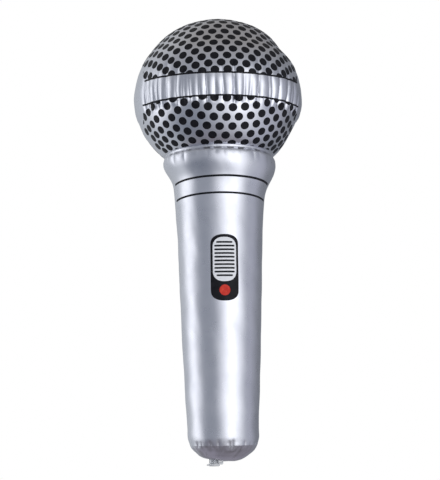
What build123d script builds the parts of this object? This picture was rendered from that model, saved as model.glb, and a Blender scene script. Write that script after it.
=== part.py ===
from build123d import *
import os
from math import asin, degrees, sqrt

# Inflatable toy microphone, blown up: a welded film skin with printed artwork and a push-in air valve.
# Millimetres. Z runs up the handle to the head, the front with the printed switch faces -Y, and the
# origin is on the axis in the middle of the grip, where the hand holds it.

# ---- driving dimensions: film skin ----
film = 0.3                # thickness of the film
weld_width = 4.0          # seam allowance turned inside at every weld
head_radius = 78.3        # the head is a slightly flattened ball
head_half_height = 73.6
head_centre = 214.2
dome_weld = 196.9         # height of the weld between dome and cup
neck_radius = 51.0        # where the cup is welded to the handle
bulge_radius = 52.2       # the flare swells a little just under the neck
bulge_drop = 9.5
flare_radius, flare_height = 45.4, 133.0
grip_top_radius, grip_top_height = 41.4, 112.0
grip_radius, grip_height = 37.8, 28.0
grip_low_radius, grip_low_height = 34.1, -61.0
base_radius = 31.6        # where the handle is welded to the base cap
base_weld = -108.6
shoulder_radius, shoulder_height = 26.2, -115.0
base_bottom = -122.8

# ---- driving dimensions: print ----
ink = 0.2                 # thickness given to the ink
contact_gap = 0.02        # between curved faces that lie on each other
line_width = 1.4
band_lines = {"upper": 219.0, "lower": 198.6}
flare_lines = {"upper": 132.6, "lower": 117.6}
head_print_angle = 67.0   # the print stops this far round from the front, short of the side seams
handle_print_angle = 73.0
switch_centre = 50.0
switch_width, switch_height, switch_corner = 25.0, 60.0, 8.4
slider_width, slider_height, slider_corner = 21.0, 40.0, 8.0
slider_lift = 7.4         # from the switch's centre up to the slider's
stripe_count, stripe_pitch = 10, 3.42
stripe_width, stripe_height = 18.2, 1.6
dot_radius, dot_drop = 5.3, 20.4

# ---- driving dimensions: valve, whose heights count down from the stem's mouth ----
valve_shift = -8.5        # the valve sits a little to one side of the axis
opening_radius = 9.2      # hole in the base cap
flange_radius, flange_thickness = 12.6, 0.8
stem_mouth = -124.8       # pushed in, the stem only just shows below the base
stem_length, stem_radius, bore_radius = 12.0, 4.5, 3.2
collar_radius, collar_thickness = 5.4, 0.8
diaphragm_thickness = 0.35
plug_radius, plug_thickness, stopper_length = 5.0, 2.2, 4.8
stopper_play = 0.06       # between the stopper and the bore
pivot_reach = 6.8         # the tether bends here, beside the stem's mouth
bead_radius, bead_length, bead_play = 0.9, 3.0, 0.05
lug_reach, lug_height, lug_width = 8.2, 1.9, 3.4
strap_thickness, strap_width = 0.8, 2.6
tab_reach, tab_thickness, tab_width = 6.6, 1.2, 3.4
flap_radius, flap_thickness = 4.0, 0.5
flap_bead_radius, flap_bead_length = 0.35, 3.2

front, back = -1, 1
everywhere = 1000.0
parallel_steps = 24


# ---- outlines, each drawn upwards in the XZ plane, so that the outside lies on the right ----

def ball_radius(height):
    """Radius of the head's ball at a height."""
    return head_radius * sqrt(1 - ((height - head_centre) / head_half_height) ** 2)


def neck_height():
    """Height under the ball's centre at which it has narrowed to the neck."""
    return head_centre - head_half_height * sqrt(1 - (neck_radius / head_radius) ** 2)


def ball_outline(low, high):
    start = degrees(asin((low - head_centre) / head_half_height))
    end = degrees(asin((high - head_centre) / head_half_height))
    centre = (0, head_centre)
    arc = EllipticalCenterArc(centre, head_radius, head_half_height, start, arc_size=end - start)
    return (Plane.XZ * arc).edges()[0]


def handle_outline():
    points = (
        (base_radius, base_weld),
        (grip_low_radius, grip_low_height),
        (grip_radius, grip_height),
        (grip_top_radius, grip_top_height),
        (flare_radius, flare_height),
        (bulge_radius, neck_height() - bulge_drop),
        (neck_radius, neck_height()),
    )
    return Spline(*[(radius, 0, height) for radius, height in points])


def cap_outline():
    return Spline(
        (0, 0, base_bottom),
        (shoulder_radius, 0, shoulder_height),
        (base_radius, 0, base_weld),
        tangents=((1, 0, 0), (0.3, 0, 1)),
    )


# ---- building blocks ----

def parallel(outline, distance):
    """A curve that keeps a distance outside an outline, or inside it if the distance is negative."""
    if distance == 0:
        return outline
    points = []
    for step in range(parallel_steps + 1):
        share = step / parallel_steps
        along = outline % share
        points.append(outline @ share + Vector(along.Z, 0, -along.X) * distance)
    return Spline(*points, tangents=(outline % 0, outline % 1))


def strip(outline, inner, outer):
    """The flat band between two parallels of an outline."""
    low_side, high_side = parallel(outline, inner), parallel(outline, outer)
    ends = [Line(low_side @ 0, high_side @ 0), Line(low_side @ 1, high_side @ 1)]
    return make_face([low_side, high_side, *ends])


def slab(low, high):
    return Pos(0, 0, (low + high) / 2) * Box(everywhere, everywhere, high - low)


def tube(outer, inner, low, high):
    """A ring about the Z axis; an inner radius of 0 gives a disc."""
    middle = Pos(0, 0, (low + high) / 2)
    solid = middle * Cylinder(outer, high - low)
    return solid - middle * Cylinder(inner, high - low) if inner else solid


def half(profile, side):
    """A profile swept half way round the axis, through the front or the back."""
    return revolve(profile, Axis.Z, 180 * side)


def front_or_back(side):
    return Pos(0, side * everywhere / 2, 0) * Box(everywhere, everywhere, everywhere)


def seam_allowance(outline, side):
    """The two strips of film turned inside along the left and the right side seam."""
    right = extrude(strip(outline, -weld_width, -film / 2), amount=film, dir=(0, side, 0))
    return right + mirror(right, Plane.YZ)


def panel(outline, low, high, side, lips):
    """One film panel: half a turn of skin, its side seam allowances and its top and bottom lips."""
    skin = half(strip(outline, -film, 0), side) + seam_allowance(outline, side)
    for lip in lips:
        skin = skin + (lip & front_or_back(side))
    return skin & slab(low, high)


def lip(radius, low, high):
    """A weld's seam allowance, turned in flat. It starts half the film's thickness inside the skin."""
    return tube(radius - film / 2, radius - weld_width, low, high)


# ---- the film skin ----

def dome(side):
    edge = lip(ball_radius(dome_weld), dome_weld, dome_weld + film)
    top = head_centre + head_half_height
    return panel(ball_outline(dome_weld, top), dome_weld, top, side, [edge])


def cup(side):
    neck = neck_height()
    edges = [lip(ball_radius(dome_weld), dome_weld - film, dome_weld), lip(neck_radius, neck, neck + film)]
    return panel(ball_outline(neck, dome_weld), neck, dome_weld, side, edges)


def handle(side):
    neck = neck_height()
    edges = [lip(neck_radius, neck - film, neck), lip(base_radius, base_weld, base_weld + film)]
    return panel(handle_outline(), base_weld, neck, side, edges)


def at_valve(solid):
    return Pos(valve_shift, 0, 0) * solid


def valve_column(outer, inner=0.0):
    """A tall ring on the valve's axis, to cut round shapes out of the base cap's curve."""
    return at_valve(tube(outer, inner, base_bottom - 5, base_weld))


def base_cap():
    skin = revolve(strip(cap_outline(), -film, 0), Axis.Z, 360) & slab(base_bottom, base_weld)
    return skin + lip(base_radius, base_weld - film, base_weld) - valve_column(opening_radius)


# ---- print ----

def ink_layer(outline):
    """The thin flat band that ink covers, just outside an outline."""
    return strip(outline, contact_gap, contact_gap + ink)


def printed_line(outline, height, angle):
    """A line round the front and another round the back, both short of the side seams."""
    height_range = slab(height - line_width / 2, height + line_width / 2)
    arc = revolve(ink_layer(outline), Axis.Z, 2 * angle) & height_range
    return [Rot(0, 0, middle - angle) * arc for middle in (-90, 90)]


def switch_ink(shape, height):
    """Ink in the outline of a flat shape, on the front of the handle."""
    drawn = Pos(0, 0, height) * (Plane.XZ * shape)
    return half(ink_layer(handle_outline()), front) & extrude(drawn, amount=everywhere / 2)


def switch_print():
    """The picture of a switch: nothing here moves."""
    slider_middle = switch_centre + slider_lift
    plate = switch_ink(RectangleRounded(switch_width, switch_height, switch_corner), switch_centre)
    slider = switch_ink(RectangleRounded(slider_width, slider_height, slider_corner), slider_middle)
    dot = switch_ink(Circle(dot_radius), switch_centre - dot_drop)
    stripes = []
    for number in range(stripe_count):
        step = (number - (stripe_count - 1) / 2) * stripe_pitch
        bar = RectangleRounded(stripe_width, stripe_height, 0.45 * stripe_height)
        stripes.append(switch_ink(bar, slider_middle + step))
    return {
        "switch_surround_print": plate - slider - dot,
        "switch_slider_print": slider - stripes,
        "switch_stripes_print": stripes,
        "switch_dot_print": dot,
    }


# ---- valve: each piece is made with its mouth at the origin, then set in place ----

def in_valve(solid):
    return Pos(valve_shift, 0, stem_mouth) * solid


def flange():
    near = -film - contact_gap
    ring = strip(cap_outline(), near - flange_thickness, near)
    return revolve(ring, Axis.Z, 360) & valve_column(flange_radius, opening_radius)


def diaphragm():
    """The cone from the flange's inner edge up to the underside of the stem's collar."""
    top = stem_mouth + stem_length - collar_thickness
    low = base_bottom
    wide, narrow = opening_radius + 0.7, collar_radius - 0.1
    wall = diaphragm_thickness
    corners = [(wide, low), (narrow, top), (narrow - wall, top), (wide - wall, low)]
    cone = revolve(Plane.XZ * Polygon(*corners, align=None), Axis.Z, 360)
    floor = parallel(cap_outline(), -film - flange_thickness - 2 * contact_gap)
    centre_top = (0, 0, (floor @ 1).Z)
    inside = revolve(make_face([floor, Line(floor @ 1, centre_top), Line(centre_top, floor @ 0)]))
    return at_valve(cone) & inside


def stem():
    wall = tube(stem_radius, bore_radius, 0, stem_length)
    collar = tube(collar_radius, bore_radius, stem_length - collar_thickness, stem_length)
    lug_start = (stem_radius + bore_radius) / 2
    lug_middle = Pos((lug_start + lug_reach) / 2, 0, lug_height / 2)
    lug = lug_middle * Box(lug_reach - lug_start, lug_width, lug_height)
    groove = Pos(pivot_reach, 0, 0) * Rot(90, 0, 0) * Cylinder(bead_radius + bead_play, 2 * lug_width)
    return in_valve(wall + collar + (lug - groove))


def cap_disc():
    disc = tube(plug_radius, 0, -plug_thickness, 0)
    return fillet(disc.edges().sort_by(Axis.Z)[0], 0.7)


def plug():
    """Disc, pull tab and stopper. The stopper's side is an arc about the pivot, so it swings out."""
    reach = pivot_reach + bore_radius - stopper_play
    tip = sqrt(reach**2 - stopper_length**2) - pivot_reach
    side = RadiusArc((reach - pivot_reach, 0), (tip, stopper_length), -reach)
    closing = Polyline((tip, stopper_length), (0, stopper_length), (0, 0), (reach - pivot_reach, 0))
    stopper = revolve(Plane.XZ * make_face(side.edges() + closing.edges()), Axis.Z, 360)
    tab_middle = Pos(-(plug_radius + tab_reach) / 2 + 0.5, 0, -plug_thickness / 2)
    tab = tab_middle * Box(tab_reach - plug_radius + 1, tab_width, tab_thickness)
    tab = fillet(tab.edges().filter_by(Axis.Z).group_by(Axis.X)[0], 0.8)
    return in_valve(cap_disc() + stopper + tab)


def tether():
    """The strap from the plug to the stem, with the bead that it bends about."""
    bead = Pos(pivot_reach, 0, 0) * Rot(90, 0, 0) * Cylinder(bead_radius, bead_length)
    strap_middle = Pos((plug_radius - 0.4 + pivot_reach) / 2, 0, -contact_gap - strap_thickness / 2)
    strap = strap_middle * Box(pivot_reach - plug_radius + 0.4, strap_width, strap_thickness)
    return in_valve(bead + strap - cap_disc())


def flap():
    disc = tube(flap_radius, 0, 0, flap_thickness)
    bead = Pos(-flap_radius, 0, flap_bead_radius) * Rot(90, 0, 0)
    bead = bead * Cylinder(flap_bead_radius, flap_bead_length)
    return in_valve(Pos(0, 0, stem_length) * (disc + bead))


def solids_of(shape):
    """The solids in a shape or in a list of shapes."""
    shapes = shape if isinstance(shape, list) else [shape]
    return [solid for one in shapes for solid in one.solids()]


def build():
    nodes = {
        "dome_front_panel": dome(front),
        "dome_back_panel": dome(back),
        "cup_front_panel": cup(front),
        "cup_back_panel": cup(back),
        "handle_front_panel": handle(front),
        "handle_back_panel": handle(back),
        "base_cap": base_cap(),
        "valve_flange": flange(),
        "valve_diaphragm": diaphragm(),
        "valve_stem": stem(),
        "valve_check_flap": flap(),
        "valve_plug": plug(),
        "valve_tether": tether(),
    }
    ball = ball_outline(neck_height(), head_centre + head_half_height)
    for place, height in band_lines.items():
        nodes[f"band_line_{place}"] = printed_line(ball, height, head_print_angle)
    for place, height in flare_lines.items():
        nodes[f"flare_line_{place}"] = printed_line(handle_outline(), height, handle_print_angle)
    nodes.update(switch_print())
    return nodes


os.makedirs("parts", exist_ok=True)
for name, shape in build().items():
    export_step(Compound(solids_of(shape)), f"parts/{name}.step")
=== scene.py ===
import math
import bmesh
import bpy
import numpy as np
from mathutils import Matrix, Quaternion, Vector
from mathutils.bvhtree import BVHTree


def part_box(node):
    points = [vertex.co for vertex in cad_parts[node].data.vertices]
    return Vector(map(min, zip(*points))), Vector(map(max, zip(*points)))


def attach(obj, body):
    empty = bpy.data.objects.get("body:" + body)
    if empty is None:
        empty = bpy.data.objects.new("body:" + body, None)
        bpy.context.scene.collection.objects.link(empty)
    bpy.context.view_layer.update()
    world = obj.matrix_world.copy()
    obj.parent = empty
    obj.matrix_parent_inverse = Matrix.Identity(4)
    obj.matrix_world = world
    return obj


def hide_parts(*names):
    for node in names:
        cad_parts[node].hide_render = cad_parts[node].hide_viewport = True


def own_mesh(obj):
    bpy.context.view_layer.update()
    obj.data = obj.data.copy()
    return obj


# An inflated toy microphone: a welded skin of silver film with printed artwork, and a clear push-in
# air valve under its base. Lengths are worked out in millimetres, and go into Blender as metres.
# "turn" is an angle round the axis: 0 faces the front (-Y) and a quarter turn faces +X.
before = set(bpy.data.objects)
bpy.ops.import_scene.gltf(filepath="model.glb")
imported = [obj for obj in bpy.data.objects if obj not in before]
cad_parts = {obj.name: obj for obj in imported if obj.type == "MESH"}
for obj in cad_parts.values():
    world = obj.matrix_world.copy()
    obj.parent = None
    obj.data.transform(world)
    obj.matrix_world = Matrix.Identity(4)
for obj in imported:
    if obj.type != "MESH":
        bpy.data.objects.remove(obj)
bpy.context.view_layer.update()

MM = 0.001
FULL_TURN = 2 * math.pi
QUARTER = math.pi / 2
COLUMNS = 720              # points round every ring of film
FILM = 0.3                 # thickness of the film
SHARP = math.radians(50)   # faces that meet at more than this are shaded apart
INK_LIFT = 0.12            # how proud the ink lies
INK_ROOT = 0.06            # how deep its edge reaches into the film
LINE_WIDTH = 1.6           # of the lines round the head
FLARE_LINE_WIDTH = 1.8     # of the lines round the flare, which droop towards their ends
FLARE_LINE_DROOP = 2.6
FLARE_LINE_SHIFT = math.radians(-2.5)      # the print sits a little off the seams
PRINT_EDGE = 71.0          # the head's print ends at this distance left and right of the middle
SEAM_MARGIN = 2.5          # bare film beside the seam over the crown
NECK_MARGIN = 1.2          # bare film beside the weld at the neck
DOT_RADIUS = 3.8
SLIDER_LIFT = INK_LIFT + 0.07              # the slider and the dot lie on the surround
STRIPE_LIFT = INK_LIFT + 0.14              # and the stripes on the slider
STRIPE_COUNT, STRIPE_HEIGHT = 10, 1.6
FEWEST_COLUMNS = 0.7       # to a radian: nearer the crown than this there are no dots
HIGHEST_DOT, WIDEST_DOT = 1.5, 1.6         # latitude and turn past which there is no film for a dot
GATHERED_BELOW, GATHERED_ABOVE = 12, 36    # the reach of the gathers from the dome's weld
# radius and height of the dark disc of painted shade under the microphone
SHADE_DISC_RADIUS, SHADE_DISC_HEIGHT = 420, -240
FLOOR_RADIUS, FLOOR_HEIGHT = 6000, -600


# ---- sizes read from the CAD frame ----

def box(node):
    low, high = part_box(node)
    return low / MM, high / MM


def node_mesh(node):
    """A CAD node's points in millimetres, and a tree to shoot rays at."""
    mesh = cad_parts[node].data
    points = [vertex.co / MM for vertex in mesh.vertices]
    faces = [tuple(polygon.vertices) for polygon in mesh.polygons]
    return points, BVHTree.FromPolygons(points, faces)


def outline_points(node):
    """(radius, height) of the points on the outside of a node, in the plane of the side seams."""
    points, tree = node_mesh(node)
    low, high = box(node)
    middle = (low.z + high.z) / 2
    found = {}
    for point in points:
        if abs(point.y) > 1e-3 or point.x < 0:
            continue
        height = point.z + math.copysign(0.01, middle - point.z)
        hit = tree.ray_cast(Vector((500, -0.02, height)), Vector((-1, 0, 0)))[0]
        if hit and abs(hit.x - point.x) < 0.06:
            found[round(point.z, 1)] = (point.x, point.z)
    return sorted(found.values(), key=lambda place: -place[1])


def ball_from(points):
    """Radius, half height and centre of the ball through points on its outline, by least squares."""
    radius, height = np.array(points).T
    terms = np.column_stack([height**2, height, np.ones_like(height)])
    square, linear, constant = np.linalg.lstsq(terms, radius**2, rcond=None)[0]
    centre = -linear / (2 * square)
    widest = math.sqrt(constant - square * centre**2)
    return widest, widest / math.sqrt(-square), centre


class Outline:
    """A smooth curve through (radius, height) points, followed by its length from the first of them."""

    def __init__(self, points):
        self.points = np.array(points, float)
        steps = np.linalg.norm(np.diff(self.points, axis=0), axis=1)
        self.marks = np.concatenate([[0], np.cumsum(steps)])
        self.bends = [self.second_derivatives(values) for values in self.points.T]

    def second_derivatives(self, values):
        """The natural cubic spline's second derivative at each mark."""
        count, gaps = len(values), np.diff(self.marks)
        system, wanted = np.eye(count), np.zeros(count)
        for i in range(1, count - 1):
            system[i, i - 1:i + 2] = gaps[i - 1], 2 * (gaps[i - 1] + gaps[i]), gaps[i]
            slope_change = (values[i + 1] - values[i]) / gaps[i] - (values[i] - values[i - 1]) / gaps[i - 1]
            wanted[i] = 6 * slope_change
        return np.linalg.solve(system, wanted)

    def at(self, distance):
        """Radius and height at distances along the curve."""
        distance = np.asarray(distance, float)
        i = np.clip(np.searchsorted(self.marks, distance) - 1, 0, len(self.marks) - 2)
        gap = self.marks[i + 1] - self.marks[i]
        after = (distance - self.marks[i]) / gap
        before = 1 - after
        result = []
        for values, bends in zip(self.points.T, self.bends):
            bend = (before**3 - before) * bends[i] + (after**3 - after) * bends[i + 1]
            result.append(before * values[i] + after * values[i + 1] + bend * gap**2 / 6)
        return result


head_points = outline_points("dome_front_panel") + outline_points("cup_front_panel")
HEAD_RADIUS, HEAD_HALF_HEIGHT, HEAD_CENTRE = ball_from(head_points)
DOME_WELD = box("dome_front_panel")[0].z
NECK = box("cup_front_panel")[0].z
BASE_WELD = box("handle_front_panel")[0].z
BULGE_HEIGHT = NECK - 21
VALVE_LOW, VALVE_HIGH = box("valve_stem")
FLANGE_LOW, FLANGE_HIGH = box("valve_flange")
VALVE_X = (FLANGE_LOW.x + FLANGE_HIGH.x) / 2
OPENING = (box("valve_diaphragm")[1].x - box("valve_diaphragm")[0].x) / 2 + 0.5


def latitude(height):
    """The angle above the ball's middle, as seen on the round ball it was flattened from."""
    return math.asin((height - HEAD_CENTRE) / HEAD_HALF_HEIGHT)


# ---- the skin: rings of points, then its welds, folds and ripples ----

def ring_turns():
    return np.arange(COLUMNS) * FULL_TURN / COLUMNS


def swept(radius, height):
    """A grid of points, one row for each (radius, height), all the way round."""
    turn = ring_turns()[None, :]
    radius, height = np.asarray(radius)[:, None], np.asarray(height)[:, None]
    return np.stack([radius * np.sin(turn), -radius * np.cos(turn), height + 0 * turn], axis=-1)


def normals(grid):
    """Outward normal at each point of a grid whose rows run down the outside."""
    along = np.gradient(grid, axis=0)
    wrapped = np.concatenate([grid[:, -1:], grid, grid[:, :1]], axis=1)
    around = (wrapped[:, 2:] - wrapped[:, :-2]) / 2
    normal = np.cross(along, around)
    length = np.linalg.norm(normal, axis=-1, keepdims=True)
    return normal / np.maximum(length, 1e-9)


def distances(grid):
    """How far each point lies from the top row, and from the bottom row, along its column."""
    steps = np.linalg.norm(np.diff(grid, axis=0), axis=-1)
    down = np.concatenate([np.zeros((1, grid.shape[1])), np.cumsum(steps, axis=0)])
    return down, down[-1:] - down


def gathers(seed, count, length, depth, width, reach, least=0.35, stray=0.38):
    """Folds spread unevenly along a weld of this length: place, depth, width, reach and lean of each."""
    draw = np.random.default_rng(seed)
    place = (np.arange(count) + draw.uniform(-stray, stray, count)) * length / count
    return np.column_stack([
        place,
        depth * draw.uniform(least, 1.25, count),
        width * draw.uniform(0.7, 1.4, count),
        reach * draw.uniform(0.6, 1.2, count),
        draw.uniform(-0.08, 0.08, count),
    ])


def fold_depth(folds, position, distance, length=None):
    """Depth of sharp creases that start at a weld and fade out with distance from it."""
    total = np.zeros(np.broadcast(position, distance).shape)
    for place, depth, width, reach, lean in folds:
        across = position - place - lean * distance
        if length is not None:
            across = (across + length / 2) % length - length / 2
        share = np.clip(distance / reach, 0, 1)
        spread = width * (1 + 0.8 * share)
        total += depth * np.exp(-np.sqrt((across / spread) ** 2 + 0.05)) * (1 - share**2) ** 2
    return total


def ripple(grid, seed, size, height, count=14):
    """A faint random waviness: the sum of a few long waves in random directions."""
    draw = np.random.default_rng(seed)
    total = np.zeros(grid.shape[:-1])
    for _ in range(count):
        direction = draw.normal(size=3)
        direction *= FULL_TURN / size * draw.uniform(0.6, 1.5) / np.linalg.norm(direction)
        total += np.sin(grid @ direction + draw.uniform(0, FULL_TURN))
    return height * total / math.sqrt(count)


class Weld:
    """A ring weld that pulls the film in and gathers it into folds on both of its sides."""

    BOW_REACH = {"above": 9.0, "below": 26.0}       # how far from the weld each of these is felt
    EASE_REACH = {"above": 3.8, "below": 14.0}

    def __init__(
            self, radius, tilt, groove, above=(), below=(), bow=0.0, lip=0.0, ease=0.0, bare_sides=False):
        self.length = FULL_TURN * radius
        self.tilt = tilt              # how far below level the film is pushed, in radians
        self.groove = groove
        self.lip = lip                # how far below the weld its groove lies
        self.ease = ease              # how far the film beside it curves in on its way to the weld
        self.sets = {"above": above, "below": below}
        self.bow = bow                # how far the ring rises above level at the front and back
        self.bare_sides = bare_sides  # whether the film is smooth beside the two side seams

    def rise(self, side, distance):
        """How far the film beside the weld rises with it."""
        left = np.clip(1 - distance / self.BOW_REACH[side], 0, 1)
        return self.bow * np.cos(ring_turns())[None, :] ** 2 * left**2

    def push(self, side, distance):
        """How far the film moves inwards, at each point of a grid beside the weld."""
        position = ring_turns()[None, :] * self.length / FULL_TURN
        offset = self.lip if side == "below" else -self.lip
        pull = self.groove * np.exp(-(((distance - offset) / 1.6) ** 2))
        pull += self.ease * np.exp(-distance / self.EASE_REACH[side])
        for folds, share, start in self.sets[side]:
            crease = fold_depth(folds, position, distance, self.length)
            if self.bare_sides:
                crease = crease * np.clip((np.cos(ring_turns())[None, :] ** 2 - 0.09) / 0.09, 0, 1)
            if start:
                crease = crease * np.clip(distance / start, 0, 1) ** 1.5
            pull = pull + crease - share * np.mean(crease, axis=1, keepdims=True)
        return pull

    def direction(self):
        turn = ring_turns()
        level = math.cos(self.tilt)
        down = np.full_like(turn, -math.sin(self.tilt))
        return np.stack([level * np.sin(turn), -level * np.cos(turn), down], axis=-1)


def side_seams(grid, seed, depth):
    """The two seams from front to back panel: a shallow groove with short gathers."""
    radius = np.hypot(grid[..., 0], grid[..., 1])
    down, _ = distances(grid)
    length = float(down.max())
    total = np.zeros(radius.shape)
    for number, middle in enumerate((QUARTER, 3 * QUARTER)):
        folds = gathers(seed + number, max(2, round(length / 11)), length, depth, 1.6, 7.0)
        away = np.abs(ring_turns()[None, :] - middle) * radius
        total += 0.35 * np.exp(-away / 1.4) + fold_depth(folds, down, away)
    return total


class Film:
    """One length of skin between two welds. key tells where each row lies, and falls down the rows."""

    def __init__(
            self, grid, key, above=None, below=None, seam_seed=None, sunk=0.0, share=1.0, seed=1,
            crumple=0.02):
        self.key = np.asarray(key)
        down, up = distances(grid)
        outward = normals(grid)
        if above is None:
            outward[0] = 0, 0, 1
        inward = sunk - ripple(grid, seed, 34.0, 0.2) - ripple(grid, seed + 20, 13.0, crumple)
        if seam_seed is not None:
            inward = inward + side_seams(grid, seam_seed, 0.35)
        if above is not None:
            inward = inward * self.calm(down)
        if below is not None:
            inward = inward * self.calm(up)
        move = -outward * inward[..., None]
        if above is not None:
            move -= above.direction()[None] * above.push("below", down)[..., None]
            move[..., 2] += above.rise("below", down)
        if below is not None:
            move -= below.direction()[None] * below.push("above", up)[..., None]
            move[..., 2] += below.rise("above", up)
        self.grid = grid + move * np.broadcast_to(share, down.shape)[..., None]
        self.normal = normals(self.grid)

    @staticmethod
    def calm(distance):
        """0 at a weld, where two films have to meet, and 1 away from it."""
        return np.clip(distance / 4, 0, 1)

    def sample(self, values, turn, key):
        """Values of a grid between its points."""
        row = np.interp(-np.asarray(key), -self.key, np.arange(len(self.key)))
        column = (np.asarray(turn) % FULL_TURN) * COLUMNS / FULL_TURN
        i = np.clip(np.floor(row).astype(int), 0, len(self.key) - 2)
        j = np.floor(column).astype(int) % COLUMNS
        down, right = (row - i)[..., None], (column - np.floor(column))[..., None]
        k = (j + 1) % COLUMNS
        top = values[i, j] * (1 - right) + values[i, k] * right
        bottom = values[i + 1, j] * (1 - right) + values[i + 1, k] * right
        return top * (1 - down) + bottom * down

    def lifted(self, turn, key, lift):
        """Points on the film, raised by this much."""
        normal = self.sample(self.normal, turn, key)
        normal /= np.linalg.norm(normal, axis=-1, keepdims=True)
        return self.sample(self.grid, turn, key) + normal * lift


def ball_grid(latitudes):
    return swept(HEAD_RADIUS * np.cos(latitudes), HEAD_CENTRE + HEAD_HALF_HEIGHT * np.sin(latitudes))


def graded(length, fine, coarse, edge):
    """Distances from 0 to length, close together within an edge's reach of both ends."""
    rim = np.arange(0, edge, fine)
    inner = np.linspace(edge, length - edge, round((length - 2 * edge) / coarse))
    return np.concatenate([rim, inner, (length - rim)[::-1]])


def make_skin():
    """The four lengths of film: dome, cup, handle and base cap."""
    weld_radius = HEAD_RADIUS * math.cos(latitude(DOME_WELD))
    neck_radius = HEAD_RADIUS * math.cos(latitude(NECK))
    handle_outline = Outline(outline_points("handle_front_panel"))
    base_radius = float(handle_outline.points[-1, 0])
    dome_length, neck_length, base_length = (FULL_TURN * r for r in (weld_radius, neck_radius, base_radius))
    dome_weld = Weld(
        weld_radius, 0.1, 0.15,
        above=[
            (gathers(11, 60, dome_length, 2.7, 1.7, 50.0, 0.7, 0.3), 1.0, 0),
            (gathers(12, 90, dome_length, 0.4, 1.0, 8.0), 0.5, 0)],
        below=[
            (gathers(11, 60, dome_length, 2.7, 1.7, 8.0, 0.7, 0.3), 1.0, 0),
            (gathers(12, 90, dome_length, 0.4, 1.0, 6.0), 0.5, 0)],
        bare_sides=True,
    )
    neck_weld = Weld(
        neck_radius, 0.45, 0.9,
        below=[(gathers(22, 36, neck_length, 1.9, 1.6, 14.0), 0.5, 6.0)],
        bow=1.4,
        lip=2.0,
    )
    base_weld = Weld(
        base_radius, 0.4, 0.06,
        above=[(gathers(31, 24, base_length, 0.9, 1.2, 7.0), 0.4, 0)],
        below=[
            (gathers(31, 24, base_length, 0.9, 1.2, 7.0), 0.4, 0),
            (gathers(32, 15, base_length, 1.6, 2.2, 26.0), 0.8, 4.0)],
        ease=0.9,
    )
    dome_rows = np.linspace(QUARTER, latitude(DOME_WELD), 140)
    dome = Film(
        ball_grid(dome_rows), dome_rows, None, dome_weld, seam_seed=41, sunk=shoulder_dent(dome_rows),
        seed=51, crumple=0.1)
    cup_rows = np.linspace(latitude(DOME_WELD), latitude(NECK), 60)
    cup = Film(
        ball_grid(cup_rows), cup_rows, dome_weld, neck_weld, seam_seed=43, sunk=side_dent(cup_rows), seed=52)
    handle_rows = graded(handle_outline.marks[-1], 0.8, 2.4, 16.0)
    radius, height = handle_outline.at(handle_rows)
    above_base = handle_outline.marks[-1] - handle_rows[:, None]
    handle = Film(
        swept(radius, height), height, neck_weld, base_weld, seam_seed=45,
        sunk=-0.5 * np.exp(-(((above_base - 8) / 5) ** 2)), seed=53)
    cap_points = cap_grid(26)
    from_valve = np.hypot(cap_points[..., 0] - VALVE_X, cap_points[..., 1])
    flange_radius = (FLANGE_HIGH.x - FLANGE_LOW.x) / 2
    beyond_flange = np.clip((from_valve - flange_radius - 0.3) / 5, 0, 1)
    from_weld, _ = distances(cap_points)
    steeper = 0.6 * np.exp(-from_weld / 12) - 0.7 * np.clip((from_weld - 12) / 8, 0, 1)
    cap = Film(cap_points, np.arange(26)[::-1], base_weld, None, share=beyond_flange, sunk=steeper, seed=54)
    lean(handle, 1.0)
    lean(cap, beyond_flange)
    return dome, cup, handle, cap


def lean(film, share):
    """The bulge under the neck and the base both stand a little to the +X side of the handle's axis."""
    height = film.grid[..., 2]
    bulge = np.exp(-(((height - BULGE_HEIGHT) / 11) ** 2))
    ease = np.clip((BASE_WELD + 12 - height) / 12, 0, 1)
    film.grid[..., 0] += 2.2 * bulge + 0.5 * ease**2 * (3 - 2 * ease) * share
    film.normal = normals(film.grid)


def shoulder_dent(latitudes):
    """The dome is flatter than a ball half way up, most of all on its +X side, and at its crown.

    It is fuller between the two."""
    dent = np.exp(-((latitudes - math.radians(37)) / math.radians(8)) ** 2)[:, None]
    fuller = np.exp(-((latitudes - math.radians(62)) / math.radians(15)) ** 2)[:, None]
    crown = np.exp(-((latitudes - math.radians(90)) / math.radians(15)) ** 2)[:, None]
    return 1.2 * dent * (1 + 0.5 * np.sin(ring_turns())) - 0.9 * fuller + 0.8 * crown


def side_dent(latitudes):
    """The cup is a little flatter than a ball on its +X side."""
    dent = np.exp(-((latitudes + math.radians(26)) / math.radians(14)) ** 2)[:, None]
    return 1.7 * dent * np.clip(np.sin(ring_turns()), 0, 1) ** 2


def cap_height(radius):
    """Height of the base cap's outside at distances from the axis."""
    found = outline_points("base_cap")
    mirrored = [(-radius, height) for radius, height in found[::-1][:3]]
    outline = Outline(found + mirrored)
    curve_radius, curve_height = outline.at(np.linspace(0, outline.marks[-1], 400))
    return np.interp(radius, curve_radius[::-1], curve_height[::-1])


def cap_grid(rows):
    """The base cap, from its weld in to the round hole for the valve, which lies off its middle."""
    turn = ring_turns()[None, :]
    share = np.linspace(0, 1, rows)[:, None]
    weld_radius = outline_points("base_cap")[0][0]
    across = (1 - share) * weld_radius * np.sin(turn) + share * (VALVE_X + OPENING * np.sin(turn))
    forward = -((1 - share) * weld_radius + share * OPENING) * np.cos(turn)
    return np.stack([across, forward, cap_height(np.hypot(across, forward))], axis=-1)


# ---- meshes ----

def new_object(name, points, faces, material, body, replaced=()):
    """A Blender piece from points in millimetres, riding on a body."""
    mesh = bpy.data.meshes.new(name)
    mesh.from_pydata((np.asarray(points) * MM).tolist(), [], faces)
    mesh.validate()
    piece = bpy.data.objects.new(name, mesh)
    bpy.context.scene.collection.objects.link(piece)
    mesh.shade_smooth()
    mesh.set_sharp_from_angle(angle=SHARP)
    mesh.materials.append(material)
    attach(piece, body)
    if replaced:
        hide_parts(*replaced)
    return piece


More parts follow.
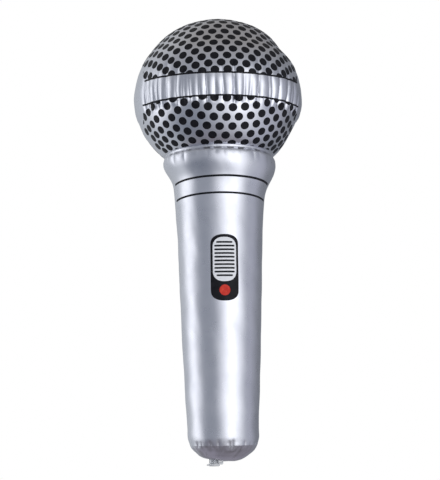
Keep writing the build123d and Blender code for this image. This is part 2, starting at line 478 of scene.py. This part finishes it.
def shell(outer, inner, closed=False):
    """Points and faces of a thin closed solid between two grids of the same shape."""
    rows, columns = outer.shape[:2]
    points = np.concatenate([outer.reshape(-1, 3), inner.reshape(-1, 3)])
    number = np.arange(rows * columns).reshape(rows, columns)
    if closed:
        number = np.concatenate([number, number[:, :1]], axis=1)
    far = rows * columns
    a, b, c, d = number[:-1, :-1], number[1:, :-1], number[1:, 1:], number[:-1, 1:]
    faces = [np.stack([a, b, c, d], -1).reshape(-1, 4), np.stack([d, c, b, a], -1).reshape(-1, 4) + far]
    edges = [number[0, ::-1], number[-1]]
    if not closed:
        edges += [number[:, 0], number[::-1, -1]]
    for edge in edges:
        faces.append(np.stack([edge[:-1], edge[:-1] + far, edge[1:] + far, edge[1:]], -1))
    return points, np.concatenate(faces).tolist()


def film_panel(name, film, middle, material, replaced):
    """Half of a length of film, from side seam to side seam."""
    start = round((middle - QUARTER) * COLUMNS / FULL_TURN)
    columns = np.arange(start, start + COLUMNS // 2 + 1) % COLUMNS
    outer = film.grid[:, columns]
    inner = outer - FILM * film.normal[:, columns]
    points, faces = shell(outer, inner)
    piece = new_object(name, points, faces, material, "skin", [replaced])
    merge(piece)
    return piece


def merge(piece):
    """Joins points that fell together, as a ring of no size does at the crown."""
    work = bmesh.new()
    work.from_mesh(piece.data)
    bmesh.ops.remove_doubles(work, verts=work.verts, dist=1e-7)
    bmesh.ops.dissolve_degenerate(work, edges=work.edges, dist=1e-8)
    work.to_mesh(piece.data)
    work.free()


# ---- print ----

def patch(film, turn, key, closed=False, lift=INK_LIFT):
    """Points and faces of a layer of ink on the film, from grids of places."""
    return shell(film.lifted(turn, key, lift), film.lifted(turn, key, -INK_ROOT), closed)


def joined(parts):
    """One list of points and faces from several."""
    points, faces, count = [], [], 0
    for part_points, part_faces in parts:
        points.append(part_points)
        faces += [[corner + count for corner in face] for face in part_faces]
        count += len(part_points)
    return np.concatenate(points), faces


def rounded_disc(outline, rings=5):
    """A grid of plane points from a small ring at the middle out to an outline around it."""
    middle = outline.mean(axis=0)
    shares = np.linspace(0.002, 1, rings)[:, None, None]
    return middle + shares * (outline - middle)[None]


def finer(outline, step):
    """The same closed outline with points on its edges, so that none is longer than a step."""
    dense = []
    for here, there in zip(outline, np.roll(outline, -1, axis=0)):
        count = max(1, math.ceil(np.linalg.norm(there - here) / step))
        dense.append(here + (there - here) * np.arange(count)[:, None] / count)
    return np.concatenate(dense)


def clipped(outline, inside):
    """The part of a polygon where inside(points) is positive."""
    values = inside(outline)
    if values.min() >= 0:
        return outline
    result = []
    for i in range(len(outline)):
        here, there = outline[i], outline[(i + 1) % len(outline)]
        a, b = values[i], values[(i + 1) % len(outline)]
        if a >= 0:
            result.append(here)
        if a * b < 0:
            result.append(here + (there - here) * a / (a - b))
    return np.array(result)


def on_ball(turn, angle, offsets):
    """Turn and latitude of points offset by (across, up) millimetres from a place on the head."""
    centre = np.array([math.cos(angle) * math.sin(turn), -math.cos(angle) * math.cos(turn), math.sin(angle)])
    east = np.array([math.cos(turn), math.sin(turn), 0])
    north = np.cross(centre, east)
    mean_radius = (HEAD_RADIUS + HEAD_HALF_HEIGHT) / 2
    across, up = offsets[..., 0:1] / mean_radius, offsets[..., 1:2] / mean_radius
    away = np.sqrt(across**2 + up**2) + 1e-12
    point = centre * np.cos(away) + (east * across + north * up) * np.sin(away) / away
    return np.arctan2(point[..., 0], -point[..., 1]), np.arcsin(np.clip(point[..., 2], -1, 1))


class DotSheet:
    """A staggered pattern of dots that was flat on the film before it was blown up.

    Rows are counted downwards. first_row and first_column are the ones at the ball's middle. rows and
    columns say how many there are to a radian, rows as a series in the latitude, and spread takes
    some columns away. bends says how far the rows climb at the sides, and edge_spread how much
    further apart the columns stand there."""

    def __init__(self, first_row, rows, bends, first_column, columns, spread, edge_spread):
        self.first_row, self.first_column = first_row, first_column
        self.rows, self.bends = rows, bends
        self.columns, self.spread, self.edge_spread = columns, spread, edge_spread

    def row_at(self, turn, angle):
        """The row that passes through a place."""
        down = sum(share * angle ** (power + 1) for power, share in enumerate(self.rows))
        return self.first_row - down + (self.bends[0] + self.bends[1] * angle) * turn**2

    def place(self, column, row):
        """Turn and latitude of a dot, or None if the film doesn't reach it, by small corrections."""
        turn, angle = 0.0, 0.0
        for _ in range(60):
            angle += (self.row_at(turn, angle) - row) / (1.3 * self.rows[0])
            per_radian = self.columns * math.cos(angle) - self.spread
            if per_radian < FEWEST_COLUMNS or abs(angle) > HIGHEST_DOT or abs(turn) > WIDEST_DOT:
                return None
            beside = self.edge_spread * math.cos(angle) * turn**3
            wanted = (column + row / 2 - self.first_column + beside) / per_radian
            turn += 0.5 * (wanted - turn)
        return turn, angle


CUP_DOTS = DotSheet(
    first_row=-3.09, rows=(8.55,), bends=(3.42, 1.78),
    first_column=0.45, columns=8.76, spread=1.6, edge_spread=0.45)
DOME_DOTS = DotSheet(
    first_row=2.17, rows=(11.72, -3.66, 1.42), bends=(-2.62, 0.89),
    first_column=0.37, columns=6.89, spread=0.0, edge_spread=0.53)


def line_latitude(height, rise, turn):
    """A band line's latitude: it climbs a little towards its ends, as the print stretches there."""
    return latitude(height) + rise / HEAD_HALF_HEIGHT * (turn / 1.15) ** 2


def band_line(place):
    low, high = box(f"band_line_{place}")
    return (low.z + high.z) / 2


BAND_UPPER, BAND_LOWER = band_line("upper"), band_line("lower")
UPPER_RISE, LOWER_RISE = 3.4, 1.7


def circle(count):
    turn = np.arange(count) * FULL_TURN / count
    return DOT_RADIUS * np.column_stack([np.cos(turn), np.sin(turn)])


def printed_dots(film, sheet, middle, limits, least):
    """All of a panel's dots, each cut off where the print ends, and finer where the film is gathered.

    What is left of a dot has to measure at least this much both ways."""
    parts = []
    for row in range(-16, 16):
        for column in range(-20, 21):
            spot = sheet.place(column, row)
            if spot is None:
                continue

            def inside(points):
                turn, angle = on_ball(*spot, points)
                return limits(turn, angle)

            above_weld = (spot[1] - latitude(DOME_WELD)) * HEAD_HALF_HEIGHT
            gathered = -GATHERED_BELOW < above_weld < GATHERED_ABOVE
            points, rings = (44, 10) if gathered else (26, 5)
            outline = clipped(circle(points), inside)
            if len(outline) < 5 or np.ptp(outline, axis=0).min() < least:
                continue
            outline = finer(outline, 0.6 if gathered else 1.0)
            turn, angle = on_ball(*spot, rounded_disc(outline, rings))
            parts.append(patch(film, (turn + middle)[::-1], angle[::-1], closed=True))
    return joined(parts)


def dome_limits(turn, angle):
    radius = HEAD_RADIUS * np.cos(angle)
    above_line = (angle - line_latitude(BAND_UPPER, UPPER_RISE, turn)) * HEAD_HALF_HEIGHT
    return np.minimum.reduce([
        PRINT_EDGE - np.abs(radius * np.sin(turn)), radius * np.cos(turn) - SEAM_MARGIN, above_line])


def cup_limits(turn, angle):
    radius = HEAD_RADIUS * np.cos(angle)
    below_line = (line_latitude(BAND_LOWER, LOWER_RISE, turn) - angle) * HEAD_HALF_HEIGHT
    above_neck = (angle - latitude(NECK)) * HEAD_HALF_HEIGHT - NECK_MARGIN
    below_weld = (latitude(DOME_WELD) - angle) * HEAD_HALF_HEIGHT
    return np.minimum.reduce([
        PRINT_EDGE - np.abs(radius * np.sin(turn)), radius * np.cos(turn) - SEAM_MARGIN,
        below_line, above_neck, below_weld])


def strip_limits(turn, angle):
    """The strip between the weld and the lower band line, where the cup's dots run on onto the dome."""
    radius = HEAD_RADIUS * np.cos(angle)
    below_line = (line_latitude(BAND_LOWER, LOWER_RISE, turn) - angle) * HEAD_HALF_HEIGHT
    above_weld = (angle - latitude(DOME_WELD)) * HEAD_HALF_HEIGHT
    return np.minimum.reduce([
        PRINT_EDGE - np.abs(radius * np.sin(turn)), radius * np.cos(turn) - SEAM_MARGIN,
        below_line, above_weld])


def head_line(film, height, rise):
    """A band line on the front and on the back."""
    end = math.asin(PRINT_EDGE / (HEAD_RADIUS * math.cos(latitude(height))))
    turn = np.linspace(-end, end, 300)[None, :]
    across = np.linspace(1, -1, 5)[:, None] * LINE_WIDTH / 2 / HEAD_HALF_HEIGHT
    angle = line_latitude(height, rise, turn) + across
    return joined([patch(film, turn + middle + 0 * across, angle) for middle in (0, math.pi)])


def flare_line(film, place):
    low, high = box(f"flare_line_{place}")
    end = math.atan2(high.x, math.sqrt(max(0, high.y**2 - high.x**2))) + math.radians(2)
    turn = np.linspace(-end, end, 240)[None, :]
    across = np.linspace(1, -1, 5)[:, None] * FLARE_LINE_WIDTH / 2
    height = (low.z + high.z) / 2 - FLARE_LINE_DROOP * (turn / end) ** 2 + across
    turn = turn + FLARE_LINE_SHIFT + 0 * across
    return joined([patch(film, turn + middle, height) for middle in (0, math.pi)])


def rounded_rectangle(width, height, corner, steps=8):
    """Outline points, all at most about a millimetre and a half apart."""
    points = []
    for number in range(4):
        side = QUARTER * number
        sign_x, sign_y = (1, 1, -1, -1)[number], (-1, 1, 1, -1)[number]
        centre = np.array([sign_x * (width / 2 - corner), sign_y * (height / 2 - corner)])
        angle = np.linspace(side - QUARTER, side, steps)
        points.append(centre + corner * np.column_stack([np.cos(angle), np.sin(angle)]))
    return finer(np.concatenate(points), 1.5)


def arched_ends(width, height, end, power=2.4, steps=17):
    """A tall outline with straight sides, whose ends are arches this high."""
    angle = np.linspace(0, math.pi, steps)
    across = np.sign(np.cos(angle)) * np.abs(np.cos(angle)) ** (2 / power) * width / 2
    up = np.sin(angle) ** (2 / power) * end + height / 2 - end
    side = np.linspace(-up[0], up[0], math.ceil(2 * up[0] / 1.5))[1:-1]
    right, left = np.full_like(side, width / 2), np.full_like(side, -width / 2)
    arch = np.column_stack([across, up])
    return np.concatenate([
        np.column_stack([right, side]), arch, np.column_stack([left, side[::-1]]), -arch])


def switch_shape(film, outline, height, rings, lift):
    """A flat shape printed on the front of the handle, given in millimetres about its middle."""
    grid = rounded_disc(outline, rings)[::-1]
    key = height + grid[..., 1]
    radius = np.interp(-key, -film.key, np.hypot(film.grid[:, 0, 0], film.grid[:, 0, 1]))
    return patch(film, np.arcsin(grid[..., 0] / radius), key, closed=True, lift=lift)


def make_prints(dome, cup, handle, black, pale, red):
    for side, middle in (("front", 0), ("back", math.pi)):
        points, faces = joined([
            printed_dots(dome, DOME_DOTS, middle, dome_limits, 1.8),
            printed_dots(dome, CUP_DOTS, middle, strip_limits, 0.2)])
        new_object(f"dome_{side}_dots", points, faces, black, "skin")
        points, faces = printed_dots(cup, CUP_DOTS, middle, cup_limits, 0.5)
        new_object(f"cup_{side}_dots", points, faces, black, "skin")
    for place, height, rise in (("upper", BAND_UPPER, UPPER_RISE), ("lower", BAND_LOWER, LOWER_RISE)):
        points, faces = head_line(dome, height, rise)
        new_object(
            f"band_line_{place}_ink", points, faces, black, "skin", [f"band_line_{place}"])
        points, faces = flare_line(handle, place)
        new_object(
            f"flare_line_{place}_ink", points, faces, black, "skin", [f"flare_line_{place}"])
    make_switch(handle, black, pale, red)


def middle_and_size(node):
    low, high = box(node)
    return (low.z + high.z) / 2, high.x - low.x, high.z - low.z


def make_switch(handle, black, pale, red):
    """The printed picture of a switch, its layers of ink one on another."""
    height, wide, tall = middle_and_size("switch_surround_print")
    points, faces = switch_shape(handle, arched_ends(wide, tall, 9.2), height, 14, INK_LIFT)
    new_object("switch_surround_ink", points, faces, black, "skin", ["switch_surround_print"])
    height, wide, tall = middle_and_size("switch_slider_print")
    points, faces = switch_shape(handle, arched_ends(wide, tall, 9.4), height, 12, SLIDER_LIFT)
    new_object("switch_slider_ink", points, faces, pale, "skin", ["switch_slider_print"])
    height, wide, tall = middle_and_size("switch_dot_print")
    wide, tall = 0.92 * wide, 0.92 * tall
    outline = rounded_rectangle(wide, tall, wide / 2 - 1e-3)
    points, faces = switch_shape(handle, outline, height, 6, SLIDER_LIFT)
    new_object("switch_dot_ink", points, faces, red, "skin", ["switch_dot_print"])
    height, wide, tall = middle_and_size("switch_stripes_print")
    parts = []
    for number in range(STRIPE_COUNT):
        step = (number / (STRIPE_COUNT - 1) - 0.5) * (tall - STRIPE_HEIGHT)
        share = 0.8 if number in (0, STRIPE_COUNT - 1) else 1.0
        bar = rounded_rectangle(wide * share, STRIPE_HEIGHT, 0.45 * STRIPE_HEIGHT)
        parts.append(switch_shape(handle, bar, height + 0.35 + 0.975 * step, 4, STRIPE_LIFT))
    points, faces = joined(parts)
    new_object("switch_stripes_ink", points, faces, black, "skin", ["switch_stripes_print"])


# ---- materials ----

def new_material(name):
    material = bpy.data.materials.new(name)
    material.use_nodes = True
    nodes = material.node_tree.nodes
    return material, nodes, material.node_tree.links, nodes["Principled BSDF"]


def noise(nodes, links, scale, detail=3.0):
    """Noise in the piece's own coordinates, so that its scale is in waves to the metre."""
    place = nodes.new("ShaderNodeTexCoord")
    texture = nodes.new("ShaderNodeTexNoise")
    texture.inputs["Scale"].default_value = scale
    texture.inputs["Detail"].default_value = detail
    links.new(place.outputs["Object"], texture.inputs["Vector"])
    return texture.outputs["Fac"]


def mapped(nodes, links, value, low, high):
    """A noise value stretched to run from low to high."""
    node = nodes.new("ShaderNodeMapRange")
    node.inputs["From Min"].default_value = 0.3
    node.inputs["From Max"].default_value = 0.7
    node.inputs["To Min"].default_value = low
    node.inputs["To Max"].default_value = high
    links.new(value, node.inputs["Value"])
    return node.outputs["Result"]


def mixed_colour(nodes, links, factor, first, second):
    node = nodes.new("ShaderNodeMix")
    node.data_type = "RGBA"
    links.new(factor, node.inputs["Factor"])
    node.inputs["A"].default_value = (*first, 1)
    node.inputs["B"].default_value = (*second, 1)
    return node.outputs["Result"]


def bumped(nodes, links, height, distance, strength, before=None):
    node = nodes.new("ShaderNodeBump")
    node.inputs["Distance"].default_value = distance
    node.inputs["Strength"].default_value = strength
    links.new(height, node.inputs["Height"])
    if before is not None:
        links.new(before, node.inputs["Normal"])
    return node.outputs["Normal"]


def silver_film():
    """Satin metal pigment in soft film: a fine grain, faint cloudiness and a thin clear skin over it."""
    material, nodes, links, shader = new_material("silver_film")
    cloud = noise(nodes, links, 45)
    grain = noise(nodes, links, 2600, 2)
    clouded = mapped(nodes, links, cloud, 0, 1)
    colour = mixed_colour(nodes, links, clouded, (0.665, 0.675, 0.735), (0.715, 0.722, 0.775))
    links.new(colour, shader.inputs["Base Color"])
    links.new(mapped(nodes, links, noise(nodes, links, 120), 0.26, 0.34), shader.inputs["Roughness"])
    peel = bumped(nodes, links, noise(nodes, links, 320), 0.0002, 0.12)
    links.new(bumped(nodes, links, grain, 0.00005, 0.2, peel), shader.inputs["Normal"])
    shader.inputs["Metallic"].default_value = 1.0
    shader.inputs["Coat Weight"].default_value = 0.15
    shader.inputs["Coat Roughness"].default_value = 0.12
    return material


def ink(name, thin, thick, roughness):
    """Screen printed ink: a little uneven in colour and gloss, with a fine dry texture."""
    material, nodes, links, shader = new_material(name)
    mottle = mapped(nodes, links, noise(nodes, links, 260), 0, 1)
    links.new(mixed_colour(nodes, links, mottle, thick, thin), shader.inputs["Base Color"])
    gloss = mapped(nodes, links, noise(nodes, links, 700), roughness - 0.06, roughness + 0.06)
    links.new(gloss, shader.inputs["Roughness"])
    links.new(bumped(nodes, links, noise(nodes, links, 3000, 2), 0.00004, 0.3), shader.inputs["Normal"])
    shader.inputs["Specular IOR Level"].default_value = 0.14
    return material


def clear_pvc():
    """Soft clear vinyl, faintly cloudy and slightly rippled from the mould."""
    material, nodes, links, shader = new_material("clear_pvc")
    cloud = mapped(nodes, links, noise(nodes, links, 300), 0, 1)
    colour = mixed_colour(nodes, links, cloud, (0.86, 0.88, 0.92), (0.95, 0.96, 0.98))
    links.new(colour, shader.inputs["Base Color"])
    links.new(mapped(nodes, links, noise(nodes, links, 900), 0.12, 0.24), shader.inputs["Roughness"])
    links.new(bumped(nodes, links, noise(nodes, links, 700), 0.0001, 0.15), shader.inputs["Normal"])
    shader.inputs["Transmission Weight"].default_value = 0.8
    shader.inputs["IOR"].default_value = 1.53
    return material


# ---- valve ----

def make_diaphragm(material):
    """The soft cone between flange and stem, built in one fixed shape with a faint ripple down it."""
    low, high = box("valve_diaphragm")
    wide = (high.x - low.x) / 2
    narrow = (VALVE_HIGH.x - VALVE_LOW.x) / 2 - 1.5
    count = 120
    turn = np.arange(count)[None, :] * FULL_TURN / count
    share = np.linspace(0, 1, 22)[:, None]
    radius = wide + (narrow - wide) * share + 0.25 * np.sin(share * FULL_TURN * 2.5) * np.sin(share * math.pi)
    rim = np.array([VALVE_X + wide * np.sin(turn), wide * np.cos(turn)])
    rim_height = cap_height(np.hypot(*rim)) + low.z - box("base_cap")[0].z
    height = rim_height + (high.z - rim_height) * share

    def ring(offset):
        spread = radius + offset
        return np.stack([VALVE_X + spread * np.sin(turn), -spread * np.cos(turn), height], axis=-1)

    points, faces = shell(ring(0)[::-1], ring(-0.35)[::-1], closed=True)
    piece = new_object(
        "valve_diaphragm_skin", points, faces, material, "skin", ["valve_diaphragm"])
    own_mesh(piece)


def dress_valve(material):
    for node in ("valve_flange", "valve_stem", "valve_check_flap", "valve_plug", "valve_tether"):
        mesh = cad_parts[node].data
        mesh.materials.clear()
        mesh.materials.append(material)


# ---- studio ----

def white_world():
    """A white backdrop, seen directly or, dimmed, through the clear valve.

    The film reflects a darker room with soft boxes, and a dark card low on the left."""
    world = bpy.data.worlds.new("studio")
    bpy.context.scene.world = world
    world.use_nodes = True
    nodes, links = world.node_tree.nodes, world.node_tree.links
    nodes.clear()
    place = nodes.new("ShaderNodeTexCoord")
    axes = nodes.new("ShaderNodeSeparateXYZ")
    links.new(place.outputs["Generated"], axes.inputs[0])

    def maths(operation, *values):
        node = nodes.new("ShaderNodeMath")
        node.operation = operation
        for socket, value in zip(node.inputs, values):
            if isinstance(value, (int, float)):
                socket.default_value = value
            else:
                links.new(value, socket)
        return node.outputs[0]

    forward = maths("MULTIPLY", axes.outputs[1], -1.0)
    turn = maths("ARCTAN2", axes.outputs[0], forward)
    rise = maths("ARCSINE", axes.outputs[2])

    def soft_edge(value, half, blur):
        node = nodes.new("ShaderNodeMapRange")
        node.interpolation_type = "SMOOTHSTEP"
        node.inputs["From Min"].default_value = half + blur
        node.inputs["From Max"].default_value = half - blur
        links.new(value, node.inputs["Value"])
        return node.outputs["Result"]

    def vectors(operation, first, second):
        node = nodes.new("ShaderNodeVectorMath")
        node.operation = operation
        for socket, value in zip(node.inputs, (first, second)):
            if isinstance(value, tuple):
                socket.default_value = value
            else:
                links.new(value, socket)
        return node.outputs["Vector"]

    def soft_box(
            azimuth, half_width, side_blur, elevation, half_height, end_blur, strength,
            colour=(1.0, 1.0, 1.0)):
        """A patch of light, in degrees. A negative strength darkens what lies behind it."""
        away = maths("WRAP", maths("SUBTRACT", turn, math.radians(azimuth)), math.pi, -math.pi)
        sideways = soft_edge(maths("ABSOLUTE", away), math.radians(half_width), math.radians(side_blur))
        above = maths("ABSOLUTE", maths("SUBTRACT", rise, math.radians(elevation)))
        upright = soft_edge(above, math.radians(half_height), math.radians(end_blur))
        shine = nodes.new("ShaderNodeVectorMath")
        shine.operation = "SCALE"
        shine.inputs[0].default_value = tuple(strength * share for share in colour)
        links.new(maths("MULTIPLY", sideways, upright), shine.inputs["Scale"])
        return shine.outputs["Vector"]

    blue, violet, sky, warm = (0.86, 0.95, 1.12), (0.96, 0.93, 1.10), (0.97, 1.02, 1.02), (1.2, 0.9, 0.4)
    # azimuth, half width and blur, then elevation, half height and blur, then strength
    boxes = [
        soft_box(23, 29, 28, -4, 28, 14, 1.22),
        soft_box(38, 26, 24, -50, 22, 16, 0.57),
        soft_box(28, 13, 10, -4, 28, 14, 0.2),
        soft_box(-97, 17, 16, 1, 23, 17, 1.1),
        soft_box(-66, 34, 24, -50, 26, 16, -0.18),
        soft_box(-140, 38, 28, 0, 60, 20, 0.31, sky),
        soft_box(90, 16, 20, -24, 48, 14, 0.22, violet),
        soft_box(-10, 105, 45, 0, 70, 20, 0.12, blue),
        soft_box(0, 110, 40, -45, 26, 14, 0.05),
        soft_box(0, 230, 40, 90, 50, 25, 0.08, warm),
    ]
    light = (0.228, 0.24, 0.265)
    for one in boxes:
        light = vectors("ADD", light, one)
    room = nodes.new("ShaderNodeBackground")
    links.new(light, room.inputs["Color"])
    backdrop = nodes.new("ShaderNodeBackground")
    seen = nodes.new("ShaderNodeLightPath")
    mix = nodes.new("ShaderNodeMixShader")
    through = maths("MULTIPLY", seen.outputs["Is Transmission Ray"], 0.4)
    straight = maths("MAXIMUM", seen.outputs["Is Camera Ray"], through)
    links.new(straight, mix.inputs["Fac"])
    links.new(room.outputs[0], mix.inputs[1])
    links.new(backdrop.outputs[0], mix.inputs[2])
    backdrop.inputs["Color"].default_value = (1, 1, 1, 1)
    output = nodes.new("ShaderNodeOutputWorld")
    links.new(mix.outputs[0], output.inputs["Surface"])


def flat_disc(name, radius, height):
    points = [(radius * math.sin(turn), radius * math.cos(turn), height) for turn in -ring_turns()[::8]]
    mesh = bpy.data.meshes.new(name)
    mesh.from_pydata((np.array(points) * MM).tolist(), [], [list(range(len(points)))])
    disc = bpy.data.objects.new(name, mesh)
    bpy.context.scene.collection.objects.link(disc)
    return disc, mesh


def make_painted_shade_disc():
    """Painted shade: a dark glowing disc with a soft edge under the microphone, which reflects it. The camera
    doesn't see it.
    """
    painted_shade_disc, mesh = flat_disc("painted_shade_disc", SHADE_DISC_RADIUS, SHADE_DISC_HEIGHT)
    material, nodes, links, _ = new_material("painted_shade_disc")
    clear = nodes.new("ShaderNodeBsdfTransparent")
    # painted shade: a dim, patchy grey glow, which the base cap reflects as the dark beneath it
    painted_shade = nodes.new("ShaderNodeEmission")
    patches = mapped(nodes, links, noise(nodes, links, 9, 0), 0, 1)
    grey = mixed_colour(nodes, links, patches, (0.15, 0.14, 0.15), (0.33, 0.31, 0.36))
    links.new(grey, painted_shade.inputs["Color"])
    place = nodes.new("ShaderNodeTexCoord")
    away = nodes.new("ShaderNodeVectorMath")
    away.operation = "LENGTH"
    links.new(place.outputs["Object"], away.inputs[0])
    edge = nodes.new("ShaderNodeMapRange")
    edge.interpolation_type = "SMOOTHSTEP"
    edge.inputs["From Min"].default_value = 0.24
    edge.inputs["From Max"].default_value = 0.50
    links.new(away.outputs["Value"], edge.inputs["Value"])
    seen = nodes.new("ShaderNodeLightPath")
    hidden = nodes.new("ShaderNodeMath")
    hidden.operation = "MAXIMUM"
    links.new(seen.outputs["Is Camera Ray"], hidden.inputs[0])
    links.new(edge.outputs["Result"], hidden.inputs[1])
    mix = nodes.new("ShaderNodeMixShader")
    links.new(hidden.outputs[0], mix.inputs["Fac"])
    links.new(painted_shade.outputs[0], mix.inputs[1])
    links.new(clear.outputs[0], mix.inputs[2])
    links.new(mix.outputs[0], nodes["Material Output"].inputs["Surface"])
    mesh.materials.append(material)


def make_floor():
    """A pale round floor, well below the microphone, glowing white with a soft painted shadow in the middle.

    Only the camera sees it, from above: the film reflects the room on past it."""
    floor, mesh = flat_disc("floor", FLOOR_RADIUS, FLOOR_HEIGHT)
    material, nodes, links, shader = new_material("floor")
    place = nodes.new("ShaderNodeTexCoord")
    flat = nodes.new("ShaderNodeVectorMath")
    flat.operation = "MULTIPLY"
    flat.inputs[1].default_value = (1, 1, 0)
    links.new(place.outputs["Object"], flat.inputs[0])
    away = nodes.new("ShaderNodeVectorMath")
    away.operation = "LENGTH"
    links.new(flat.outputs["Vector"], away.inputs[0])
    # painted shadow: the glow dims from 1.0 beyond 1.2 m out to 0.86 under the microphone
    shade = nodes.new("ShaderNodeMapRange")
    shade.interpolation_type = "SMOOTHSTEP"
    for socket, value in (("From Min", 0.0), ("From Max", 1.2), ("To Min", 0.86), ("To Max", 1.0)):
        shade.inputs[socket].default_value = value
    links.new(away.outputs["Value"], shade.inputs["Value"])
    shader.inputs["Base Color"].default_value = (0, 0, 0, 1)
    shader.inputs["Roughness"].default_value = 1.0
    shader.inputs["Specular IOR Level"].default_value = 0.0
    shader.inputs["Emission Color"].default_value = (1, 1, 1, 1)
    links.new(shade.outputs["Result"], shader.inputs["Emission Strength"])
    clear = nodes.new("ShaderNodeBsdfTransparent")
    seen = nodes.new("ShaderNodeLightPath")
    side = nodes.new("ShaderNodeNewGeometry")
    from_above = nodes.new("ShaderNodeMath")
    from_above.operation = "GREATER_THAN"
    links.new(seen.outputs["Is Camera Ray"], from_above.inputs[0])
    links.new(side.outputs["Backfacing"], from_above.inputs[1])
    mix = nodes.new("ShaderNodeMixShader")
    links.new(from_above.outputs[0], mix.inputs["Fac"])
    links.new(clear.outputs[0], mix.inputs[1])
    links.new(shader.outputs[0], mix.inputs[2])
    links.new(mix.outputs[0], nodes["Material Output"].inputs["Surface"])
    mesh.materials.append(material)


def make_camera():
    """A long lens a little below the microphone's middle and a little to its left, looking up at it."""
    azimuth, elevation, roll = math.radians(-5.7), math.radians(-8.0), math.radians(-0.9)
    distance, target = 1.15, Vector((0, 0, 0.080))
    back = Vector((
        math.sin(azimuth) * math.cos(elevation),
        -math.cos(azimuth) * math.cos(elevation),
        math.sin(elevation),
    ))
    data = bpy.data.cameras.new("camera")
    data.lens, data.sensor_width = 92.7, 36.0
    camera = bpy.data.objects.new("camera", data)
    bpy.context.scene.collection.objects.link(camera)
    camera.location = target + distance * back
    camera.rotation_mode = "QUATERNION"
    camera.rotation_quaternion = (-back).to_track_quat("-Z", "Y") @ Quaternion((0, 0, 1), roll)
    bpy.context.scene.camera = camera


def build():
    silver = silver_film()
    black = ink("black_ink", (0.014, 0.014, 0.018), (0.005, 0.005, 0.008), 0.42)
    pale = ink("pale_ink", (0.90, 0.91, 0.95), (0.98, 0.98, 1.0), 0.35)
    red = ink("red_ink", (0.80, 0.07, 0.04), (0.62, 0.025, 0.02), 0.35)
    pvc = clear_pvc()
    dome, cup, handle, cap = make_skin()
    for side, middle in (("front", 0.0), ("back", math.pi)):
        film_panel(f"dome_{side}_film", dome, middle, silver, f"dome_{side}_panel")
        film_panel(f"cup_{side}_film", cup, middle, silver, f"cup_{side}_panel")
        film_panel(f"handle_{side}_film", handle, middle, silver, f"handle_{side}_panel")
    points, faces = shell(cap.grid, cap.grid - FILM * cap.normal, closed=True)
    new_object("base_cap_film", points, faces, silver, "skin", ["base_cap"])
    make_prints(dome, cup, handle, black, pale, red)
    make_diaphragm(pvc)
    dress_valve(pvc)


build()
white_world()
make_floor()
# a dark disc of painted shade, seen only in the film's reflections
make_painted_shade_disc()
make_camera()
bpy.context.scene.view_settings.view_transform = "Standard"
